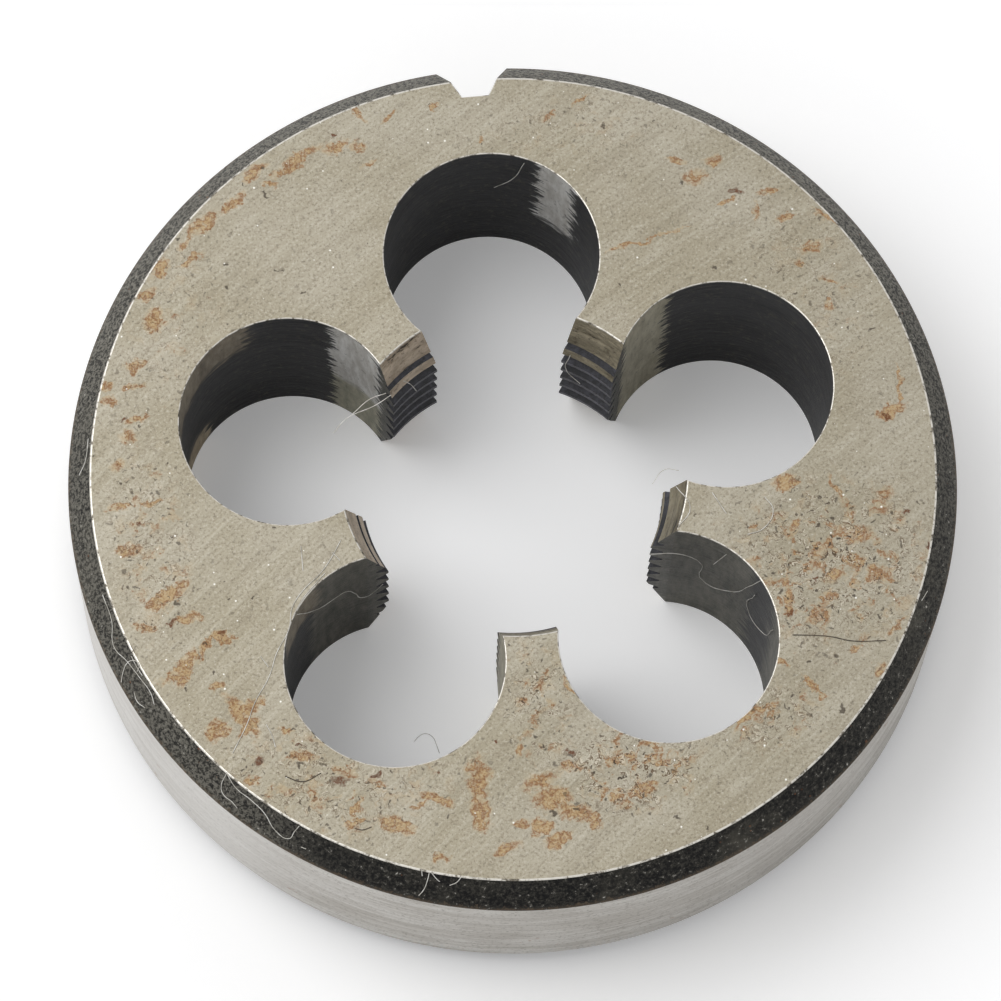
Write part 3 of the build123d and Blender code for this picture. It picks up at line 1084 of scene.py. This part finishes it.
def hang_lamp():
    """A square area lamp aimed at the die, which lights it to about its level's share of full white."""
    place = Vector(LAMP_PLACE) * MM
    data = bpy.data.lights.new("key", "AREA")
    data.size = LAMP_SIZE * MM
    data.energy = math.pi ** 2 * place.length ** 2 * LAMP_LEVEL
    lamp = bpy.data.objects.new("key", data)
    lamp.location = place
    lamp.rotation_euler = (-place).to_track_quat("-Z", "Y").to_euler()
    bpy.context.scene.collection.objects.link(lamp)


hang_lamp()
light_the_room()
bpy.context.scene.view_settings.view_transform = "Standard"

# ---------------------------------------------------------------- lint

# Fibres on the face and the chamfer, some of them out over a hole: x, y along each, as they look from the
# camera on the plane of the upper face
PALE_FIBRES = [
    [(-7.6, -2.5), (-8.1, -3.3), (-8.6, -3.9), (-9.4, -4.6), (-9.9, -5.3), (-10.1, -6.2), (-10.7, -7.2),
     (-11.1, -8.2), (-11.8, -9.3), (-12.2, -10.2), (-12.9, -11.4)],
    [(-8.4, -3.9), (-8.9, -4.4), (-9.3, -4.8), (-9.6, -5.2), (-9.9, -5.7)],
    [(-8.0, -3.0), (-7.7, -3.4)],
    [(-9.3, -2.6), (-9.3, -3.2), (-9.3, -3.7)],
    [(-11.4, -7.3), (-11.1, -7.8)],
    [(-11.4, -10.3), (-11.2, -10.8), (-11.1, -11.3)],
    [(-17.8, -4.0), (-17.5, -5.2), (-17.5, -6.3), (-17.0, -7.0), (-16.5, -7.8), (-16.1, -8.5), (-16.0, -9.0)],
    [(-17.3, -7.9), (-17.2, -7.5), (-17.0, -7.1), (-16.7, -7.0), (-16.5, -7.2), (-16.6, -7.5)],
    [(-16.8, -6.8), (-16.6, -7.3), (-16.4, -7.7)],
    [(-16.8, -8.4), (-16.7, -8.8), (-16.4, -9.1)],
    [(-13.2, -12.2), (-13.5, -12.9), (-13.4, -13.2), (-13.1, -13.5), (-12.9, -13.8)],
    [(-13.2, -12.3), (-12.9, -12.9), (-12.3, -13.5), (-11.8, -14.1), (-11.4, -14.9), (-10.9, -15.3),
     (-10.6, -15.0), (-10.4, -14.8)],
    [(-10.4, -15.7), (-10.2, -15.8)],
    [(-5.5, -17.1), (-5.5, -17.4)],
    [(-5.2, -17.3), (-5.3, -17.6), (-5.5, -18.0), (-5.7, -18.2)],
    [(-5.1, -17.3), (-4.9, -17.6), (-4.8, -17.7)],
    [(-3.9, -17.6), (-4.1, -17.8), (-4.4, -17.9)],
    [(5.8, -1.2), (6.4, -0.6), (7.0, -0.7)],
    [(6.8, -1.4), (7.3, -2.4), (6.7, -3.2)],
    [(8.3, -1.8), (8.8, -2.8)],
    [(10.5, -2.2), (10.8, -2.8), (10.3, -3.6), (9.6, -3.8)],
    [(16.6, -7.4), (16.9, -7.0)],
    [(-7.5, 2.3), (-6.9, 2.9), (-5.6, 3.4), (-4.9, 3.8)],
    [(-6.6, 3.1), (-5.8, 3.7), (-5.1, 3.9)],
    [(-18.4, 1.4), (-18.1, 2.0), (-17.9, 3.0)],
]
DARK_FIBRES = [
    [(11.0, -8.4), (12.5, -8.6), (13.5, -8.9), (14.9, -9.0)],
    [(-10.8, -12.6), (-10.1, -12.9), (-9.3, -12.6)],
    [(-8.1, -15.1), (-7.8, -15.2), (-7.4, -15.1)],
]
GREY_FIBRES = [
    [(-5.3, -11.6), (-5.1, -11.4), (-4.8, -11.3), (-4.5, -11.5), (-4.4, -11.8), (-4.3, -12.2)],
]
# Fibres that cling to a wall: the chip hole's number, or None for the bore, and the points as above
WALL_FIBRES = [
    (2, [(-9.7, -5.6), (-9.0, -5.5), (-8.5, -5.3), (-8.0, -5.0), (-7.6, -4.8), (-7.2, -4.9), (-6.8, -5.1),
         (-6.4, -4.9), (-6.0, -4.6)]),
    (3, [(5.4, -4.3), (6.6, -4.4), (7.4, -4.8), (7.6, -5.8), (8.4, -6.2), (9.4, -6.1), (9.9, -5.9)]),
    (3, [(8.0, -5.0), (8.6, -4.6)]),
    (3, [(9.6, -6.5), (9.3, -7.4), (9.6, -8.0), (10.2, -8.1)]),
    (0, [(0.4, 12.9), (1.2, 13.2), (1.8, 13.9)]),
    (None, [(-4.3, 4.4), (-4.0, 4.2), (-3.8, 3.9)]),
    (None, [(2.9, 4.9), (2.7, 4.2), (3.2, 3.6)]),
]
FIBRE_RADIUS = 0.017
CLEAR = 0.03  # over the face or chamfer
WALL_CLEAR = 0.1  # inside a wall or over the teeth
SETTLING_STEPS = 12  # to find where a line of sight meets the chamfer


def sight_slope(x, y):
    """How far the line of sight through a point of the upper face runs sideways for each millimetre down."""
    eye = camera.location / MM
    return (x - eye.x) / (eye.z - THICKNESS), (y - eye.y) / (eye.z - THICKNESS)


def on_face(route):
    """Places just over the face, or down the line of sight on the slope of the chamfer."""
    places = []
    for x, y in route:
        aside, along = sight_slope(x, y)
        depth = 0.0
        for _ in range(SETTLING_STEPS):
            past_edge = math.hypot(x + aside * depth, y + along * depth) - FACE_RADIUS
            depth = max(0.0, past_edge) * CHAMFER_HEIGHT / CHAMFER_WIDTH
        places.append((x + aside * depth, y + along * depth, THICKNESS + CLEAR - depth))
    return places


def on_wall(number, route):
    """Places down the line of sight, just inside the wall of a chip hole or over the teeth in the bore."""
    centre_x = centre_y = 0.0
    reach = CREST_RADIUS - WALL_CLEAR
    if number is not None:
        direction = NOTCH_DIRECTION + LAND_STEP * number
        centre_x = HOLE_CIRCLE_RADIUS * math.cos(direction)
        centre_y = HOLE_CIRCLE_RADIUS * math.sin(direction)
        reach = HOLE_RADIUS - WALL_CLEAR
    places = []
    for x, y in route:
        aside, along = sight_slope(x, y)
        steepness = math.hypot(aside, along)
        travelled = ((x - centre_x) * aside + (y - centre_y) * along) / steepness
        passed_by = ((x - centre_x) * along - (y - centre_y) * aside) / steepness
        depth = max(0.0, math.sqrt(max(0.0, reach ** 2 - passed_by ** 2)) - travelled) / steepness
        places.append((x + aside * depth, y + along * depth, THICKNESS - depth))
    return places


def fibre(points):
    """One thin thread through its points, as a closed tube."""
    path = bpy.data.curves.new("fibre", "CURVE")
    path.dimensions = "3D"
    path.resolution_u = 5
    path.bevel_depth = FIBRE_RADIUS * MM
    path.bevel_resolution = 1
    path.use_fill_caps = True
    spline = path.splines.new("BEZIER")
    spline.bezier_points.add(len(points) - 1)
    for knot, point in zip(spline.bezier_points, points):
        knot.co = Vector(point) * MM
        knot.handle_left_type = knot.handle_right_type = "AUTO"
    thread = bpy.data.objects.new("fibre", path)
    bpy.context.scene.collection.objects.link(thread)
    take(thread)
    bpy.ops.object.convert(target="MESH")
    return bpy.context.object


def lint(name, routes, material):
    """Loose fibres joined into one piece."""
    threads = [fibre(route) for route in routes]
    deselect_all()
    for thread in threads:
        thread.select_set(True)
    bpy.context.view_layer.objects.active = threads[0]
    if len(threads) > 1:
        bpy.ops.object.join()
    piece = bpy.context.object
    piece.name = name
    point_outwards(piece)
    coat(piece, material)
    bpy.ops.object.shade_smooth()
    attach(piece, "root")


def make_fibre(name, dull, bright):
    """Soft fibre, a little uneven in tone along its length."""
    material, tree, shader = new_finish(name, 0.0, 0.7)
    tone = ramp(tree, noise(tree, die_place(tree), 2.0, detail=2.0), 0.35, 0.65)
    dress(tree, shader, blend(tree, tone, shade(*dull), shade(*bright)))
    return material


pale_fibre = make_fibre("pale_fibre", (196, 192, 182), (240, 238, 232))
dark_fibre = make_fibre("dark_fibre", (52, 44, 36), (96, 84, 70))
grey_fibre = make_fibre("grey_fibre", (140, 138, 132), (166, 164, 158))

on_walls = [on_wall(number, route) for number, route in WALL_FIBRES]
lint("pale_lint", [on_face(route) for route in PALE_FIBRES] + on_walls, pale_fibre)
lint("dark_lint", [on_face(route) for route in DARK_FIBRES], dark_fibre)
lint("grey_lint", [on_face(route) for route in GREY_FIBRES], grey_fibre)

die = threading_die()
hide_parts("die_body")
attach(die, "root")
